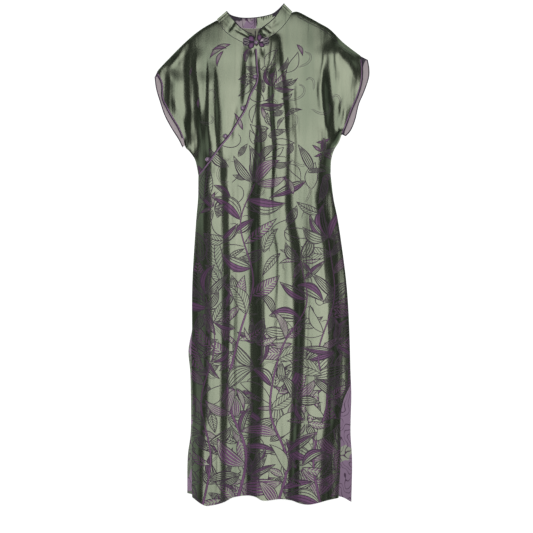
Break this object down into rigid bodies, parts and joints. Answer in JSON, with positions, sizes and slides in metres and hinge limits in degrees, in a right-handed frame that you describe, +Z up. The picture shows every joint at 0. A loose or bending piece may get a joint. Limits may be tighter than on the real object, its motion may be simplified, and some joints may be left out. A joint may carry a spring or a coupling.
{
  "type": "cheongsam dress",
  "caption": "Long cap-sleeved satin cheongsam laid flat, with a stand collar, slanted ball-button placket, butterfly frog and side slits.",
  "frame": {"origin": "middle of the dress's box on the surface that it lies on", "axes": "+Y towards the neck, +X towards the viewer's right with the front facing up, +Z up out of the surface"},
  "size_m": [0.5374, 1.253, 0.0284],
  "materials": {
    "satin_green": "glossy grey-green jacquard satin",
    "piping_purple": "dark purple satin piping",
    "satin_purple": "purple satin",
    "facing_lilac": "matte grey-lilac underside of the satin"
  },
  "bodies": {
    "root": {"back_panel": "satin_green", "front_main": "satin_green", "front_side": "satin_green", "collar": "satin_green", "piping_collar": "piping_purple", "piping_placket": "piping_purple", "piping_front_left": "piping_purple", "piping_back_left": "piping_purple", "piping_front_right": "piping_purple", "piping_back_right": "piping_purple", "facing_left": "facing_lilac", "facing_right": "facing_lilac", "frog_left": "satin_purple", "frog_right": "satin_purple", "frog_knot": "satin_purple", "button_1": "satin_purple", "button_2": "satin_purple", "button_3": "satin_purple", "button_4": "satin_purple", "button_loop_1": "piping_purple", "button_loop_2": "piping_purple", "button_loop_3": "piping_purple", "button_loop_4": "piping_purple"}
  },
  "joints": []
}
